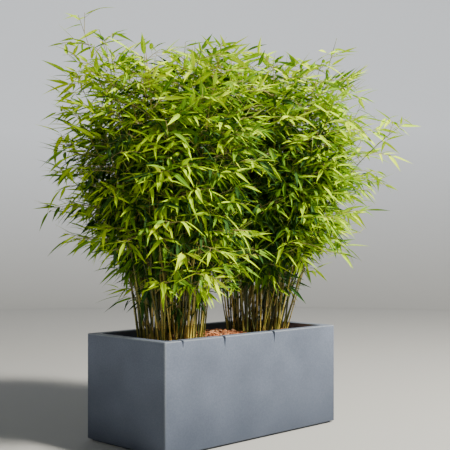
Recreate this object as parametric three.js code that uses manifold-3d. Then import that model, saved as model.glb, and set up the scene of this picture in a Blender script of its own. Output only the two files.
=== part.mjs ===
// Clumping bamboo in a long stone-grey planter.
// Two clumps of canes rise through bark mulch and arch outwards into one leafy crown.
// Millimetres, +Z up. The origin is the centre of the planter's underside, and X runs along its long side.
import * as THREE from 'three';
import { mergeVertices } from 'three/addons/utils/BufferGeometryUtils.js';
import Module from 'manifold-3d';

const wasm = await Module();
wasm.setup();

// Planter
const PLANTER_LENGTH = 1040;
const PLANTER_WIDTH = 500;
const PLANTER_HEIGHT = 450;
const WALL = 40;
const CORNER_RADIUS = 9;
const CAVITY_RADIUS = 18;
const RIM_ROUNDING = 6;
const PLINTH_HEIGHT = 7;
const PLINTH_INSET = 14;
const FLOOR_THICKNESS = 40;
const FIT_GAP = 0.3;

// V-shaped notches in the front rim: distance from the left corner, width at the rim, depth
const RIM_NOTCHES = [
  { along: 92, width: 7, depth: 22 },
  { along: 322, width: 9, depth: 43 },
  { along: 622, width: 9, depth: 43 },
];

// Soil with bark chips standing out of its flat top
const SOIL_BELOW_RIM = 45;
const SOIL_TOP = PLANTER_HEIGHT - SOIL_BELOW_RIM;
const CHIP = { count: 14, length: 34, width: 17, thickness: 9, fromWall: 26, fromCane: 30, tilt: 0.25 };

// Canes
const CANE_RADIUS = 4.9;
const CANE_TIP_RADIUS = 2.4;
const FOOT_FLARE = 1.8;
const FLARE_HEIGHT = 26;
const CANE_SIDES = 5;
const CANE_STEPS = 3;
const STRAIGHT_SHARE = 0.35;
const CANE_SPACING = 13;

// Foliage
const STEM = { sides: 3, tipRadius: 2.6 };
const NODE = 7; // height of the short band of a stem that a twig grows out of
const TWIG = { radius: 3, tipRadius: 2.6, length: 112, angle: 58, sag: 0.16 };
const ANGLE_VARIETY = 0.15;
const LENGTH_VARIETY = 0.3;
const SHORTEST_TWIG = 0.5; // share of its length that a twig keeps where there is least room
const TRY_TURN = 40; // turn round the stem from one try at placing a twig to the next
const BUD = 7; // length of the short end of a stem or twig that leaves grow out of
const JUST_BEHIND = 0.05; // how deep a face is tested for lying the right way out
const ROOT_OVERLAP = 0.05; // most that leaves of one spray may share at their roots, in cubic mm
const LEAST_FACING = 0.35; // a face bears only what leaves it this steeply, as the cosine from its normal
const LEAF = { length: 202, width: 58, thickness: 4, camber: 0.07, widest: 0.36 };
const SPRAY = { leaves: 5, fan: 125, leastDroop: 5, mostDroop: 70, roll: 45 };
const LEAF_VARIETY = 0.2; // share by which leaves of one spray differ in length
const LEAF_APART = 40; // least angle between two leaves of a spray
const OFF_TWIG = 50; // least angle between a leaf and its own twig
const SHORTEST_LEAF = 0.55; // share of its length that a leaf keeps where there is least room
const SPACE_MARGIN = 2;
const LIMB_CLEARANCE = 2.5;
const FIRST_TWIG = 0.21; // share of the stem below the lowest twig
const LAST_TWIG = 0.88;
const TWIG_SHIFT = 0.06;
const TWIG_TRIES = 24;
const LEAF_TRIES = 170;
const GOLDEN_ANGLE = 137.5;

// The clumps stand apart along X. inward is the direction of the other clump, in degrees from +X.
// spread scales how far the canes lean.
const CLUMP_FOOT = { x: 128, y: 112 };
const CLUMPS = [
  { name: 'left', x: -270, inward: 0, seed: 11, spread: 0.72 },
  { name: 'right', x: 252, inward: 180, seed: 29, spread: 0.82 },
];

// A few canes differ from the rule of their tier: one in each clump outgrows the rest.
const STRAYS = {
  left_3_high: { longer: 1.1, lean: 0.6 },
  left_2_low: { longer: 1.03, lean: 0.8 },
  left_4_high: { longer: 0.98, lean: 0.4 },
  right_2_mid: { longer: 0.97, lean: -0.6 },
  right_6_mid: { longer: 1.17, lean: 15 },
};

// One tuft grows in each sector of a clump, with a cane of each tier. One more tuft fills the middle.
// out and across place a cane's foot in its tuft, in cane spacings, and turn is its offset round the clump.
const SECTORS = 6;
const FIRST_SECTOR = 30;
const MIDDLE_TURN = 20;
const SECTOR_TIERS = [
  {
    name: 'high', out: -0.5, across: 0, turn: 0,
    lean: 8.5, arch: 20, length: 1225, leafyFrom: 0.48, twigs: 6,
  },
  {
    name: 'mid', out: 0.35, across: 0.6, turn: 21,
    lean: 10, arch: 22, length: 930, leafyFrom: 0.43, twigs: 6,
  },
  {
    name: 'low', out: 0.55, across: -0.5, turn: -21,
    lean: 11, arch: 33, length: 530, leafyFrom: 0.36, twigs: 5,
  },
  { name: 'shoot', out: -1.5, across: 0.1, turn: 0, lean: 4, arch: 12, length: 640 },
];
const MIDDLE = { lean: 4.5, arch: 9, twigs: 6 };
const MIDDLE_TIERS = [
  { name: 'top_1', out: 0.6, across: 0, turn: 0, length: 1260, leafyFrom: 0.48, ...MIDDLE },
  { name: 'top_2', out: -0.35, across: 0.5, turn: 120, length: 1240, leafyFrom: 0.46, ...MIDDLE },
  { name: 'top_3', out: -0.35, across: -0.5, turn: 240, length: 1270, leafyFrom: 0.5, ...MIDDLE },
];
const TURN_JITTER = 5;
const LEAN_JITTER = 1.2;
const ARCH_JITTER = 2;
const LENGTH_JITTER = 0.03;
const SECTOR_JITTER = 6;
const INWARD_SHARE = 0.5; // share of its lean that a cane keeps where it faces the other clump

const colour = (hex, roughness) =>
  new THREE.MeshStandardMaterial({ color: hex, roughness, metalness: 0 });
const materials = {
  planter: colour(0x8b939c, 0.62),
  soil: colour(0x6e3f26, 0.95),
  cane: colour(0x7d7a2c, 0.5),
  foliage: colour(0x7fae1f, 0.5),
};

const { degToRad: radians, lerp, mapLinear } = THREE.MathUtils;
const up = new THREE.Vector3(0, 0, 1);
const levelDirection = (degrees) =>
  new THREE.Vector3(Math.cos(radians(degrees)), Math.sin(radians(degrees)), 0);

// A small seeded generator of numbers from 0 to 1.
function makeRandom(seed) {
  let state = seed;
  return () => {
    state = (state * 1664525 + 1013904223) % 4294967296;
    return state / 4294967296;
  };
}

// Boolean work
function toSolid(geometry) {
  const bare = geometry.index ? geometry.toNonIndexed() : geometry.clone();
  bare.deleteAttribute('normal');
  bare.deleteAttribute('uv');
  const merged = mergeVertices(bare, 1e-3);
  return new wasm.Manifold(
    new wasm.Mesh({
      numProp: 3,
      vertProperties: new Float32Array(merged.attributes.position.array),
      triVerts: new Uint32Array(merged.index.array),
    }),
  );
}

function toMesh(name, solid, material) {
  const made = solid.getMesh();
  const geometry = new THREE.BufferGeometry();
  geometry.setAttribute('position', new THREE.BufferAttribute(new Float32Array(made.vertProperties), 3));
  geometry.setIndex(new THREE.BufferAttribute(new Uint32Array(made.triVerts), 1));
  geometry.computeVertexNormals();
  const mesh = new THREE.Mesh(geometry, material);
  mesh.name = name;
  return mesh;
}

// Planter
function roundedRectangle(length, width, radius) {
  const x = length / 2;
  const y = width / 2;
  const shape = new THREE.Shape();
  shape.moveTo(-x + radius, -y);
  shape.lineTo(x - radius, -y);
  shape.absarc(x - radius, -y + radius, radius, -Math.PI / 2, 0);
  shape.lineTo(x, y - radius);
  shape.absarc(x - radius, y - radius, radius, 0, Math.PI / 2);
  shape.lineTo(-x + radius, y);
  shape.absarc(-x + radius, y - radius, radius, Math.PI / 2, Math.PI);
  shape.lineTo(-x, -y + radius);
  shape.absarc(-x + radius, -y + radius, radius, Math.PI, Math.PI * 1.5);
  return shape;
}

function slab(length, width, radius, bottom, top, rounding = 0) {
  const geometry = new THREE.ExtrudeGeometry(roundedRectangle(length, width, radius), {
    depth: top - bottom - 2 * rounding,
    curveSegments: 2,
    bevelEnabled: rounding > 0,
    bevelThickness: rounding,
    bevelSize: rounding,
    bevelOffset: -rounding,
    bevelSegments: 2,
  });
  geometry.translate(0, 0, bottom + rounding);
  return toSolid(geometry);
}

function rimNotch({ along, width, depth }) {
  const aboveRim = 2;
  const halfWidth = (width / 2) * (1 + aboveRim / depth);
  const shape = new THREE.Shape();
  shape.moveTo(0, -depth);
  shape.lineTo(halfWidth, aboveRim);
  shape.lineTo(-halfWidth, aboveRim);
  shape.closePath();
  const geometry = new THREE.ExtrudeGeometry(shape, { depth: 1.5 * WALL, bevelEnabled: false });
  geometry.rotateX(Math.PI / 2);
  geometry.translate(-PLANTER_LENGTH / 2 + along, -PLANTER_WIDTH / 2 + 1.25 * WALL, PLANTER_HEIGHT);
  return toSolid(geometry);
}

function makePlanter() {
  const outside = [PLANTER_LENGTH, PLANTER_WIDTH, CORNER_RADIUS];
  const shell = slab(...outside, PLINTH_HEIGHT, PLANTER_HEIGHT, RIM_ROUNDING);
  const plinthLength = PLANTER_LENGTH - 2 * PLINTH_INSET;
  const plinthWidth = PLANTER_WIDTH - 2 * PLINTH_INSET;
  const plinth = slab(plinthLength, plinthWidth, CORNER_RADIUS, 0, PLINTH_HEIGHT + 2 * RIM_ROUNDING);
  const insideLength = PLANTER_LENGTH - 2 * WALL;
  const insideWidth = PLANTER_WIDTH - 2 * WALL;
  const cavity = slab(insideLength, insideWidth, CAVITY_RADIUS, FLOOR_THICKNESS, PLANTER_HEIGHT + WALL);
  return shell.add(plinth).subtract(wasm.Manifold.union([cavity, ...RIM_NOTCHES.map(rimNotch)]));
}

// A cane's centre line: straight at first, then one even arch outwards.
class CaneCurve extends THREE.Curve {
  constructor({ foot, azimuth, lean, arch, length }) {
    super();
    this.foot = foot;
    this.length = length;
    this.lean = radians(lean);
    this.arch = radians(Math.max(arch, 1));
    this.outward = levelDirection(azimuth);
    this.sideways = levelDirection(azimuth + 90);
  }

  tiltAt(t) {
    return this.lean + (this.arch * Math.max(0, t - STRAIGHT_SHARE)) / (1 - STRAIGHT_SHARE);
  }

  getPoint(t, target = new THREE.Vector3()) {
    const straight = Math.min(t, STRAIGHT_SHARE) * this.length;
    const radius = ((1 - STRAIGHT_SHARE) * this.length) / this.arch;
    const tilt = this.tiltAt(t);
    const out = straight * Math.sin(this.lean) + radius * (Math.cos(this.lean) - Math.cos(tilt));
    const rise = straight * Math.cos(this.lean) + radius * (Math.sin(tilt) - Math.sin(this.lean));
    return target.copy(this.foot).addScaledVector(this.outward, out).addScaledVector(up, rise);
  }

  getTangent(t, target = new THREE.Vector3()) {
    const tilt = this.tiltAt(t);
    return target.copy(up).multiplyScalar(Math.cos(tilt)).addScaledVector(this.outward, Math.sin(tilt));
  }
}

// A cylinder bent along a curve that lies in one upright plane, with a radius at each share listed.
function bentCylinder(curve, shares, radii, sides, { flatFoot = false, point = 0 } = {}) {
  const geometry = new THREE.CylinderGeometry(1, 1, 1, sides, shares.length - 1);
  const position = geometry.attributes.position;
  const rings = shares.map((share) => {
    const direction = curve.getTangent(share);
    const across = new THREE.Vector3().crossVectors(direction, curve.sideways);
    return { centre: curve.getPoint(share), direction, across };
  });
  for (let i = 0; i < position.count; i++) {
    const ring = Math.round((position.getY(i) + 0.5) * (shares.length - 1));
    const { centre, direction, across } = rings[ring];
    const [x, z] = [position.getX(i), position.getZ(i)];
    const corner = centre.clone();
    corner.addScaledVector(curve.sideways, x * radii[ring]).addScaledVector(across, -z * radii[ring]);
    if (flatFoot && ring === 0) corner.z = centre.z;
    if (Math.hypot(x, z) < 0.5 && ring === shares.length - 1) corner.addScaledVector(direction, point);
    position.setXYZ(i, corner.x, corner.y, corner.z);
  }
  return geometry;
}

const evenly = (from, to, count) =>
  Array.from({ length: count + 1 }, (_, i) => lerp(from, to, i / count));

// The canes of one tuft stand close enough at the foot to grow together there.
function layOutTuft(clump, name, azimuth, centre, tiers, random) {
  const jitter = (amount) => (random() * 2 - 1) * amount;
  const outward = levelDirection(azimuth);
  const sideways = levelDirection(azimuth + 90);
  return tiers.map((tier) => {
    const cane = `${name}_${tier.name}`;
    const stray = STRAYS[cane] ?? { longer: 1, lean: 0 };
    const turned = azimuth + tier.turn + jitter(TURN_JITTER);
    const facing = Math.max(0, Math.cos(radians(turned - clump.inward)));
    const keep = lerp(1, INWARD_SHARE, facing) * clump.spread;
    const foot = centre
      .clone()
      .addScaledVector(outward, tier.out * CANE_SPACING)
      .addScaledVector(sideways, tier.across * CANE_SPACING);
    const curve = new CaneCurve({
      foot,
      azimuth: turned,
      lean: tier.lean * keep + stray.lean + jitter(LEAN_JITTER),
      arch: tier.arch * keep + jitter(ARCH_JITTER),
      length: tier.length * stray.longer * (1 + jitter(LENGTH_JITTER)),
    });
    return { name: cane, tier, curve, seed: Math.floor(random() * 1e6) };
  });
}

function layOutClump(clump) {
  const random = makeRandom(clump.seed);
  const middle = new THREE.Vector3(clump.x, 0, SOIL_TOP + FIT_GAP);
  const first = layOutTuft(clump, clump.name, MIDDLE_TURN, middle, MIDDLE_TIERS, random);
  const tufts = [{ name: `${clump.name}_middle`, canes: first }];
  for (let i = 0; i < SECTORS; i++) {
    const azimuth = FIRST_SECTOR + (360 * i) / SECTORS + (random() * 2 - 1) * SECTOR_JITTER;
    const name = `${clump.name}_${i + 1}`;
    const along = levelDirection(azimuth);
    const centre = new THREE.Vector3(CLUMP_FOOT.x * along.x, CLUMP_FOOT.y * along.y, 0).add(middle);
    tufts.push({ name, canes: layOutTuft(clump, name, azimuth, centre, SECTOR_TIERS, random) });
  }
  return tufts;
}

// A leafy cane ends where its mass begins, and a bare shoot runs to its own thin tip.
const caneEnd = ({ tier }) => tier.leafyFrom ?? 1;
const caneRadius = (share) => lerp(CANE_RADIUS, CANE_TIP_RADIUS, share);

function makeCane(cane, thicker = 0) {
  const flareShare = FLARE_HEIGHT / cane.curve.length;
  const shares = [0, ...evenly(flareShare, caneEnd(cane), CANE_STEPS - 1)];
  const radii = shares.map((share, i) => thicker + (i === 0 ? CANE_RADIUS * FOOT_FLARE : caneRadius(share)));
  return toSolid(bentCylinder(cane.curve, shares, radii, CANE_SIDES, { flatFoot: true }));
}

// A drooping twig leaves the stem at an angle and sags to its tip.
class TwigCurve extends THREE.QuadraticBezierCurve3 {
  constructor(root, direction, length) {
    const middle = root.clone().addScaledVector(direction, length / 2);
    const tip = root.clone().addScaledVector(direction, length).addScaledVector(up, -length * TWIG.sag);
    super(root, middle, tip);
    this.sideways = new THREE.Vector3().crossVectors(up, direction).normalize();
  }

  // Three corners round the curve.
  ringAt(share, radius) {
    const across = new THREE.Vector3().crossVectors(this.getTangent(share), this.sideways);
    return [0, 120, 240].map((turn) =>
      this.getPoint(share)
        .addScaledVector(this.sideways, radius * Math.cos(radians(turn)))
        .addScaledVector(across, radius * Math.sin(radians(turn))),
    );
  }
}

// The angle in space that a triangle takes up when it is seen from a point.
function solidAngle(triangle, point) {
  const [a, b, c] = [triangle.a, triangle.b, triangle.c].map((corner) => corner.clone().sub(point));
  const [lengthA, lengthB, lengthC] = [a.length(), b.length(), c.length()];
  const over = a.dot(new THREE.Vector3().crossVectors(b, c));
  const under = lengthA * lengthB * lengthC + a.dot(b) * lengthC + b.dot(c) * lengthA + c.dot(a) * lengthB;
  return 2 * Math.atan2(over, under);
}

// The faces of a bud: each side of a ring joins the next ring by two triangles.
function budFaces(ringCount, crossed) {
  const faces = [[0, 2, 1]];
  const sides = [[0, 1], [1, 2], [2, 0]];
  for (let ring = 0; ring < ringCount; ring++) {
    for (const [i, j] of sides.map((side) => side.map((corner) => corner + 3 * ring))) {
      if (crossed && ring === 0) faces.push([i, j, i + 3], [j, j + 3, i + 3]);
      else faces.push([i, j, j + 3], [i, j + 3, i + 3]);
    }
  }
  for (const [i, j] of sides) faces.push([i + 3 * ringCount, j + 3 * ringCount, 3 * (ringCount + 1)]);
  return faces;
}

// A closed surface of corners and triangles, which twigs and leaves grow out of.
class Shell {
  constructor(corners, faces) {
    this.corners = corners;
    this.faces = faces;
  }

  static fromGeometry(geometry) {
    geometry.deleteAttribute('normal');
    geometry.deleteAttribute('uv');
    const merged = mergeVertices(geometry, 1e-3);
    const position = merged.attributes.position;
    const index = merged.index.array;
    const corners = [];
    const faces = [];
    for (let i = 0; i < position.count; i++) {
      corners.push(new THREE.Vector3().fromBufferAttribute(position, i));
    }
    for (let i = 0; i < index.length; i += 3) {
      faces.push([index[i], index[i + 1], index[i + 2]]);
    }
    return new Shell(corners, faces);
  }

  // A bud is its base triangle turned round, then rings of three corners, and a tip.
  // Its base meets the first ring in the straightest way that leaves no face inside out.
  static bud(base, rings, tip) {
    const root = new THREE.Triangle(...base).getMidpoint(new THREE.Vector3());
    const centre = new THREE.Triangle(...rings[0]).getMidpoint(new THREE.Vector3());
    const match = (shift) =>
      base.reduce((sum, corner, i) => {
        const toward = rings[0][(i + shift) % 3].clone().sub(centre).normalize();
        return sum + corner.clone().sub(root).dot(toward);
      }, 0);
    const shifts = [0, 1, 2].sort((one, other) => match(other) - match(one));
    for (const shift of shifts) {
      const turnedRings = rings.map((ring) => ring.map((_, i) => ring[(i + shift) % 3]));
      const corners = [...base, ...turnedRings.flat(), tip];
      for (const crossed of [false, true]) {
        const bud = new Shell(corners, budFaces(rings.length, crossed));
        if (bud.facesOut()) return bud;
      }
    }
    return undefined;
  }

  cornersOf(face) {
    return face.map((i) => this.corners[i]);
  }

  middleOf(face) {
    return new THREE.Triangle(...this.cornersOf(face)).getMidpoint(new THREE.Vector3());
  }

  // The face near a point that best faces a direction.
  faceToward(direction, point, reach) {
    const within = (corner) => corner.distanceTo(point) < reach;
    const near = this.faces.filter((face) => this.cornersOf(face).every(within));
    const facing = near.map((face) => {
      const normal = new THREE.Triangle(...this.cornersOf(face)).getNormal(new THREE.Vector3());
      return normal.dot(direction);
    });
    const best = Math.max(...facing);
    return best > LEAST_FACING ? near[facing.indexOf(best)] : undefined;
  }

  // Whether the space just behind each face is inside the surface.
  facesOut() {
    const triangles = this.faces.map((face) => new THREE.Triangle(...this.cornersOf(face)));
    return triangles.every((triangle) => {
      const normal = triangle.getNormal(new THREE.Vector3());
      const middle = triangle.getMidpoint(new THREE.Vector3());
      const points = [triangle.a, triangle.b, triangle.c, middle].map((corner) =>
        middle.clone().lerp(corner, 0.5).addScaledVector(normal, -JUST_BEHIND),
      );
      return points.every((point) => {
        const seen = triangles.reduce((sum, one) => sum + solidAngle(one, point), 0);
        return seen > 2 * Math.PI;
      });
    });
  }

  // What grew from a bud joins the surface at the face that the bud was taken from.
  graft(face, bud) {
    const shift = this.corners.length - face.length;
    this.corners.push(...bud.corners.slice(face.length));
    const grown = bud.faces.slice(1).map((one) => one.map((i) => face[i] ?? i + shift));
    this.faces.splice(this.faces.indexOf(face), 1, ...grown);
  }

  toSolid() {
    const geometry = new THREE.BufferGeometry().setFromPoints(this.corners);
    geometry.setIndex(this.faces.flat());
    return toSolid(geometry);
  }
}

// A lance-shaped leaf has one ring of three edges, right, ridge and left, and then its tip.
function leafShape(root, { direction, side, length }) {
  const normal = new THREE.Vector3().crossVectors(direction, side);
  const halfWidth = (LEAF.width * length) / LEAF.length / 2;
  const belly = root
    .clone()
    .addScaledVector(direction, LEAF.widest * length)
    .addScaledVector(normal, LEAF.camber * length);
  const edges = [
    belly.clone().addScaledVector(side, halfWidth),
    belly.clone().addScaledVector(normal, LEAF.thickness),
    belly.clone().addScaledVector(side, -halfWidth),
  ];
  return [[edges], root.clone().addScaledVector(direction, length)];
}

// The distance from a point to a line of straight pieces.
function distanceToLine(point, line) {
  const nearest = new THREE.Vector3();
  const distances = line.slice(1).map((end, i) => {
    return new THREE.Line3(line[i], end).closestPointToPoint(point, true, nearest).distanceTo(point);
  });
  return Math.min(...distances);
}

// A mass keeps to the space that is nearer its own stem than any other.
function makeSpaceTest(cane, canes) {
  const stemLine = (one) => evenly(one.tier.leafyFrom, 1, 6).map((share) => one.curve.getPoint(share));
  const own = stemLine(cane);
  const others = canes.filter((one) => one !== cane && one.tier.leafyFrom).map(stemLine);
  return (points) =>
    points.every((point) => {
      const near = distanceToLine(point, own) + SPACE_MARGIN;
      return others.every((line) => distanceToLine(point, line) > near);
    });
}

const touches = (solid, others) => others.some((other) => !solid.intersect(other).isEmpty());

// Leaves and twigs that meet at their roots share an edge or a corner there, and nothing more.
const crosses = (solid, others) => others.some((other) => solid.intersect(other).volume() > ROOT_OVERLAP);

// Points along the middle and both edges of a leaf.
function leafPoints(root, { direction, side, length }) {
  return evenly(0.15, 1, 5).flatMap((along) => {
    const share = along < LEAF.widest ? along / LEAF.widest : (1 - along) / (1 - LEAF.widest);
    const reach = (LEAF.width / 2) * share;
    const middle = root.clone().addScaledVector(direction, along * length);
    return [-reach, 0, reach].map((offset) => middle.clone().addScaledVector(side, offset));
  });
}

// A leaf that droops, turned at random from a level heading. The more crowded, the shorter.
function pickLeaf(heading, crowding, random) {
  const turn = (random() * 2 - 1) * SPRAY.fan;
  const droop = lerp(SPRAY.leastDroop, SPRAY.mostDroop, random());
  const roll = (random() * 2 - 1) * SPRAY.roll;
  const share = lerp(1 - LEAF_VARIETY * random(), SHORTEST_LEAF, crowding);
  const direction = new THREE.Vector3(heading.x, heading.y, 0).normalize().applyAxisAngle(up, radians(turn));
  const side = new THREE.Vector3().crossVectors(up, direction);
  direction.applyAxisAngle(side, radians(droop));
  side.applyAxisAngle(direction, radians(roll));
  return { direction, side, length: LEAF.length * share };
}

// A spray of leaves grows out of the faces at the end of a stem or twig, each where there is room.
// The leaves also come back as solids of their own.
function growSpray(shell, tip, axis, heading, { random, inSpace }, obstacles) {
  const taken = [];
  const leaves = [];
  const limb = shell.toSolid();
  for (let attempt = 0; attempt < LEAF_TRIES && leaves.length < SPRAY.leaves; attempt++) {
    const leaf = pickLeaf(heading, attempt / LEAF_TRIES, random);
    if (taken.some((other) => other.angleTo(leaf.direction) < radians(LEAF_APART))) continue;
    if (leaf.direction.angleTo(axis) > Math.PI - radians(OFF_TWIG)) continue;
    const face = shell.faceToward(leaf.direction, tip, 2 * BUD);
    if (!face || !inSpace(leafPoints(tip, leaf))) continue;
    const shape = leafShape(shell.middleOf(face), leaf);
    const bud = Shell.bud(shell.cornersOf(face), ...shape);
    if (!bud) continue;
    const lone = bud.toSolid();
    if (touches(lone, obstacles) || crosses(lone, [limb, ...leaves])) continue;
    shell.graft(face, bud);
    taken.push(leaf.direction);
    leaves.push(lone);
  }
  return leaves;
}

// A twig with its spray, on the face of a stem's node that it leaves by, if there is room for it.
function growTwig(stem, bareStem, curve, share, turn, crowding, room, obstacles) {
  const vary = (amount) => 1 + (room.random() * 2 - 1) * amount;
  const along = curve.getTangent(share);
  const radial = curve.sideways.clone().applyAxisAngle(along, radians(turn));
  const angle = radians(TWIG.angle * vary(ANGLE_VARIETY));
  const direction = along.multiplyScalar(Math.cos(angle)).addScaledVector(radial, Math.sin(angle));
  const length = TWIG.length * vary(LENGTH_VARIETY) * lerp(1, SHORTEST_TWIG, crowding);
  const face = stem.faceToward(direction, curve.getPoint(share), NODE);
  if (!face) return undefined;
  const twig = new TwigCurve(stem.middleOf(face), direction, length);
  if (!room.inSpace(evenly(0.2, 1, 4).map((at) => twig.getPoint(at)))) return undefined;
  const axis = twig.getTangent(1);
  const tip = twig.getPoint(1).addScaledVector(axis, TWIG.tipRadius);
  const ringShares = [0.5, 1 - BUD / length, 1];
  const rings = ringShares.map((at) => twig.ringAt(at, lerp(TWIG.radius, TWIG.tipRadius, at)));
  const sprig = Shell.bud(stem.cornersOf(face), rings, tip);
  if (!sprig) return undefined;
  const bare = sprig.toSolid();
  if (touches(bare, obstacles) || crosses(bare, [bareStem])) return undefined;
  growSpray(sprig, tip, axis, direction, room, [bareStem, ...obstacles]);
  stem.graft(face, sprig);
  return sprig.toSolid();
}

// A stem that carries on from its cane, with twigs round it by the golden angle and a spray on each end.
function makeMass(cane, canes, fixed) {
  const { tier, curve } = cane;
  const random = makeRandom(cane.seed);
  const room = { random, inSpace: makeSpaceTest(cane, canes) };
  const start = tier.leafyFrom + FIT_GAP / curve.length;
  const heights = evenly(FIRST_TWIG, LAST_TWIG, tier.twigs - 1);
  const nodes = heights.map((height) => lerp(start, 1, height - TWIG_SHIFT * random()));
  const halfNode = NODE / 2 / curve.length;
  const bands = nodes.flatMap((share) => [share - halfNode, share + halfNode]);
  const shares = [start, ...bands, 1 - BUD / curve.length, 1];
  const radii = shares.map((share) => mapLinear(share, start, 1, caneRadius(start), STEM.tipRadius));
  const stem = Shell.fromGeometry(bentCylinder(curve, shares, radii, STEM.sides, { point: STEM.tipRadius }));
  const bareStem = stem.toSolid();
  const top = growSpray(stem, curve.getPoint(1), curve.getTangent(1), curve.outward, room, fixed);
  const grown = [...fixed, ...top];
  const spin = random() * 360;
  nodes.forEach((share, i) => {
    let sprig;
    for (let attempt = 0; attempt < TWIG_TRIES && !sprig; attempt++) {
      const turn = spin + GOLDEN_ANGLE * i + TRY_TURN * attempt;
      sprig = growTwig(stem, bareStem, curve, share, turn, attempt / TWIG_TRIES, room, grown);
    }
    if (sprig) grown.push(sprig);
  });
  return stem.toSolid();
}

function makeSoil(canes) {
  const length = PLANTER_LENGTH - 2 * (WALL + FIT_GAP);
  const width = PLANTER_WIDTH - 2 * (WALL + FIT_GAP);
  const parts = [slab(length, width, CAVITY_RADIUS, FLOOR_THICKNESS + FIT_GAP, SOIL_TOP)];
  const random = makeRandom(5);
  while (parts.length <= CHIP.count) {
    const x = (random() - 0.5) * (length - 2 * CHIP.fromWall);
    const y = (random() - 0.5) * (width - 2 * CHIP.fromWall);
    const turn = random() * Math.PI;
    const tilt = (random() * 2 - 1) * CHIP.tilt;
    const clear = canes.every(({ curve }) => Math.hypot(curve.foot.x - x, curve.foot.y - y) > CHIP.fromCane);
    if (!clear) continue;
    const chip = new THREE.BoxGeometry(CHIP.length, CHIP.width, CHIP.thickness);
    parts.push(toSolid(chip.rotateY(tilt).rotateZ(turn).translate(x, y, SOIL_TOP)));
  }
  return wasm.Manifold.union(parts);
}

const bamboo = new THREE.Group();
bamboo.name = 'potted_bamboo';
const tufts = CLUMPS.flatMap(layOutClump);
const canes = tufts.flatMap((tuft) => tuft.canes);

bamboo.add(toMesh('planter', makePlanter(), materials.planter));
bamboo.add(toMesh('bark_and_soil', makeSoil(canes), materials.soil));
for (const tuft of tufts) {
  const joined = wasm.Manifold.union(tuft.canes.map((cane) => makeCane(cane)));
  bamboo.add(toMesh(`canes_${tuft.name}`, joined, materials.cane));
}
const fence = wasm.Manifold.union(canes.map((cane) => makeCane(cane, LIMB_CLEARANCE)));
const obstacles = [fence];
for (const cane of canes.filter(({ tier }) => tier.leafyFrom)) {
  const mass = makeMass(cane, canes, obstacles);
  obstacles.push(mass);
  bamboo.add(toMesh(`foliage_${cane.name}`, mass, materials.foliage));
}

export default bamboo;
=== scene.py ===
import math

import bmesh
import bpy
import numpy as np
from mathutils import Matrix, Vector, noise


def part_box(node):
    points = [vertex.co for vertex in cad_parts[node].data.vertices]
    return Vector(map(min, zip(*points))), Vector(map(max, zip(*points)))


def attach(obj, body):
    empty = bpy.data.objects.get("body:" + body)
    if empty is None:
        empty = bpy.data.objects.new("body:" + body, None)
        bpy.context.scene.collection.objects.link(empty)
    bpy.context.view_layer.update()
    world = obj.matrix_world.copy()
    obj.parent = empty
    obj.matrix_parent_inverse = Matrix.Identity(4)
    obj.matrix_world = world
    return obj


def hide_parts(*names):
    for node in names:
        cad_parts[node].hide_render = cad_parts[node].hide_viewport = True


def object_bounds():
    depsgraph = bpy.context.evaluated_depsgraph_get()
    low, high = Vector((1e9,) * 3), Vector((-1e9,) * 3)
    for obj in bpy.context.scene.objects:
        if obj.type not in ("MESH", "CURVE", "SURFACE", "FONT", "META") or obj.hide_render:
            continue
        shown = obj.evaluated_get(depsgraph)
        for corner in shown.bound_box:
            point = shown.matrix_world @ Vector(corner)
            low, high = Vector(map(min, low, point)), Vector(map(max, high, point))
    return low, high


# Potted bamboo: two clumps of culms in one long planter. Lengths are in metres and angles in degrees.

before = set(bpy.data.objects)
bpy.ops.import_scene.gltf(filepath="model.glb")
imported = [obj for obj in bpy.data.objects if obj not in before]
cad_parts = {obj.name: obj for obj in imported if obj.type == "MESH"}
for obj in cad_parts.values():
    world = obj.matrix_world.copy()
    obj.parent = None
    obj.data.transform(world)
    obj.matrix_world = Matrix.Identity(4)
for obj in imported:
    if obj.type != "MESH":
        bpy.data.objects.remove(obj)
cadLow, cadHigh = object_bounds()
foliageNodes = sorted(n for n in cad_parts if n.startswith("foliage_"))
caneNodes = sorted(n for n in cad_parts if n.startswith("canes_"))
print("frame:", len(foliageNodes), "masses of foliage,", len(caneNodes), "tufts of canes")

upward = np.array([0.0, 0.0, 1.0])


def makeRandom(seed):
    # even draws from 0 to 1, as in the part's own source
    times, plus, modulo = 1664525, 1013904223, 2 ** 32
    state = seed

    def draw():
        nonlocal state
        state = (state * times + plus) % modulo
        return state / modulo

    return draw


def swing(random):
    # from -1 to 1
    return random() * 2 - 1


def mix(a, b, share):
    return a + (b - a) * share


def unit(v):
    return v / np.linalg.norm(v)


def levelDirection(azimuth):
    turn = math.radians(azimuth)
    return np.array([math.cos(turn), math.sin(turn), 0.0])


def levelSide(v):
    # level and across v, also where v points straight up
    return unit(np.cross(upward, v) + 1e-6)


def turned(v, axis, degrees):
    # v turned round an axis of length 1
    angle = math.radians(degrees)
    cosine, sine = math.cos(angle), math.sin(angle)
    return v * cosine + np.cross(axis, v) * sine + axis * (axis @ v) * (1 - cosine)


# Meshes

def linkObject(name, data):
    added = bpy.data.objects.new(name, data)
    bpy.context.collection.objects.link(added)
    return added


def placePiece(name, mesh, material, nodes):
    piece = linkObject(name, mesh)
    mesh.materials.append(material)
    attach(piece, "root")
    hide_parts(*nodes)
    print(f"  {name}: {len(mesh.loops) - 2 * len(mesh.polygons)} triangles")
    return piece


def newMesh(name, points, faces):
    mesh = bpy.data.meshes.new(name)
    mesh.from_pydata(points, [], faces)
    return mesh


def meshFrom(shape, name):
    mesh = bpy.data.meshes.new(name)
    shape.to_mesh(mesh)
    shape.free()
    return mesh


def smoothUpTo(mesh, degrees):
    # edges that bend more than this stay sharp
    mesh.shade_smooth()
    mesh.set_sharp_from_angle(angle=math.radians(degrees))


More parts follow.
